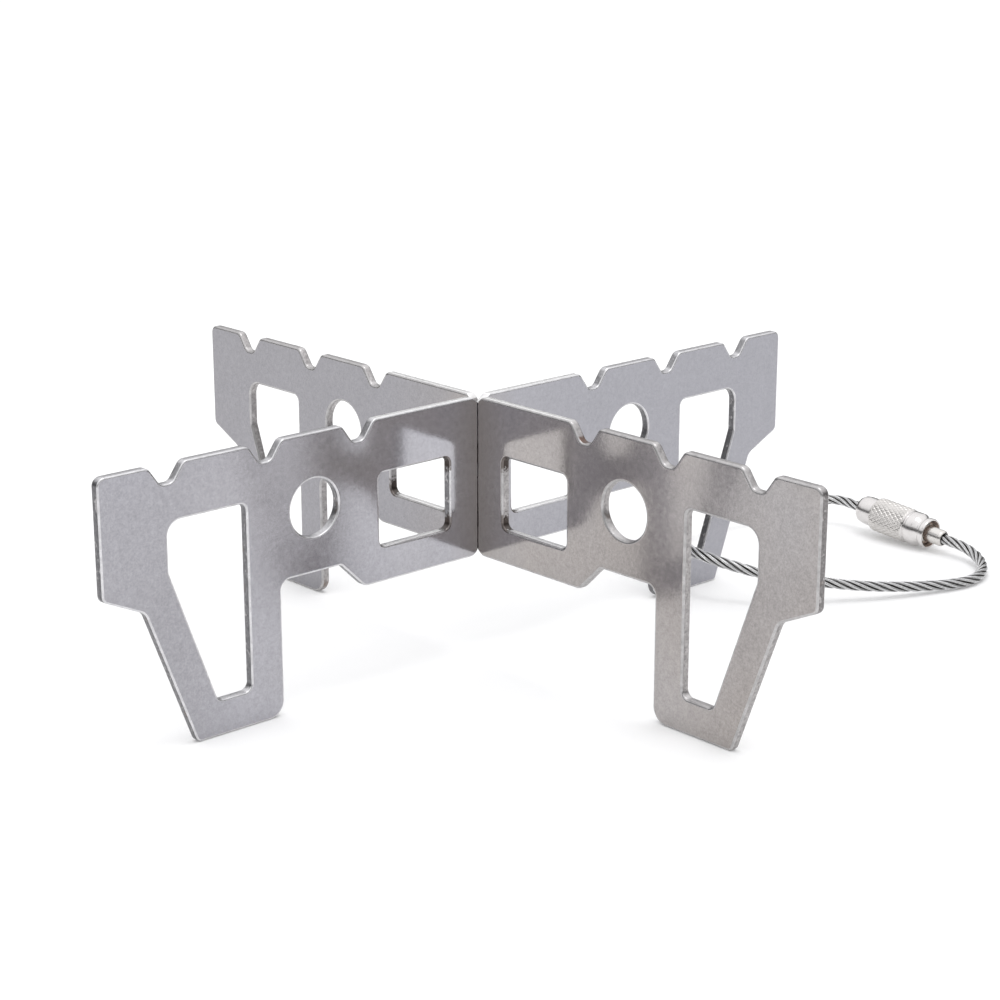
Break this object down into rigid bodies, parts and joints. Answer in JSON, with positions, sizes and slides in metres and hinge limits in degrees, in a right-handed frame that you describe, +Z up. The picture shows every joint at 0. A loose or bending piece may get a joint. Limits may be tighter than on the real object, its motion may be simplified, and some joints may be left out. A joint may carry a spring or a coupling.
{
  "type": "cross pot stand",
  "caption": "Interlocking sheet-metal cross pot stand for a spirit burner, with a screw-locked wire carrying ring on one arm.",
  "frame": {"origin": "on the ground at the middle of the whole footprint, ring included; the two plates cross on the line x = -14.85 mm, y = 0", "axes": "+Z up; the top plate lies along X with the wire ring on its +X arm; the base plate lies along Y"},
  "size_m": [0.1677, 0.1382, 0.042],
  "materials": {
    "sheet_steel": "fine-grained satin stainless sheet with deburred, laser-cut edges",
    "wire_steel": "drawn stainless wire rope, oily dark between the strands",
    "barrel_plate": "nickel-plated brass, diamond knurled with bright turned lands",
    "ferrule_plate": "nickel-plated turned and crimped ferrule"
  },
  "bodies": {
    "base": {"base_plate": "sheet_steel"},
    "top": {"top_plate": "sheet_steel"},
    "ring": {"rope_core_strand": "wire_steel", "rope_strand_1": "wire_steel", "rope_strand_2": "wire_steel", "rope_strand_3": "wire_steel", "rope_strand_4": "wire_steel", "rope_strand_5": "wire_steel", "rope_strand_6": "wire_steel", "stop_ferrule": "ferrule_plate"},
    "barrel": {"knurled_barrel": "barrel_plate"},
    "ferrule": {"threaded_ferrule": "ferrule_plate"}
  },
  "joints": [
    {"name": "plate_lift", "type": "slide", "parent": "base", "child": "top", "axis": [0, 0, 1], "range_m": [0, 0.03]},
    {"name": "ring_swing", "type": "hinge", "parent": "top", "child": "ring", "pos_m": [0.03115, 0, 0.00815], "axis": [0, -1, 0], "range_deg": [0, 120]},
    {"name": "barrel_spin", "type": "hinge", "parent": "ring", "child": "barrel", "pos_m": [0.0808, 0.0007, 0.00442], "axis": [0.0123, 0.9965, 0.083], "range_deg": [0, 2160]},
    {"name": "ferrule_out", "type": "slide", "parent": "ring", "child": "ferrule", "axis": [-0.0123, -0.9965, -0.083], "range_m": [0, 0.003]}
  ],
  "couplings": [
    {"joint": "barrel_spin", "follows": "ferrule_out", "rad_per_m": 12566}
  ]
}
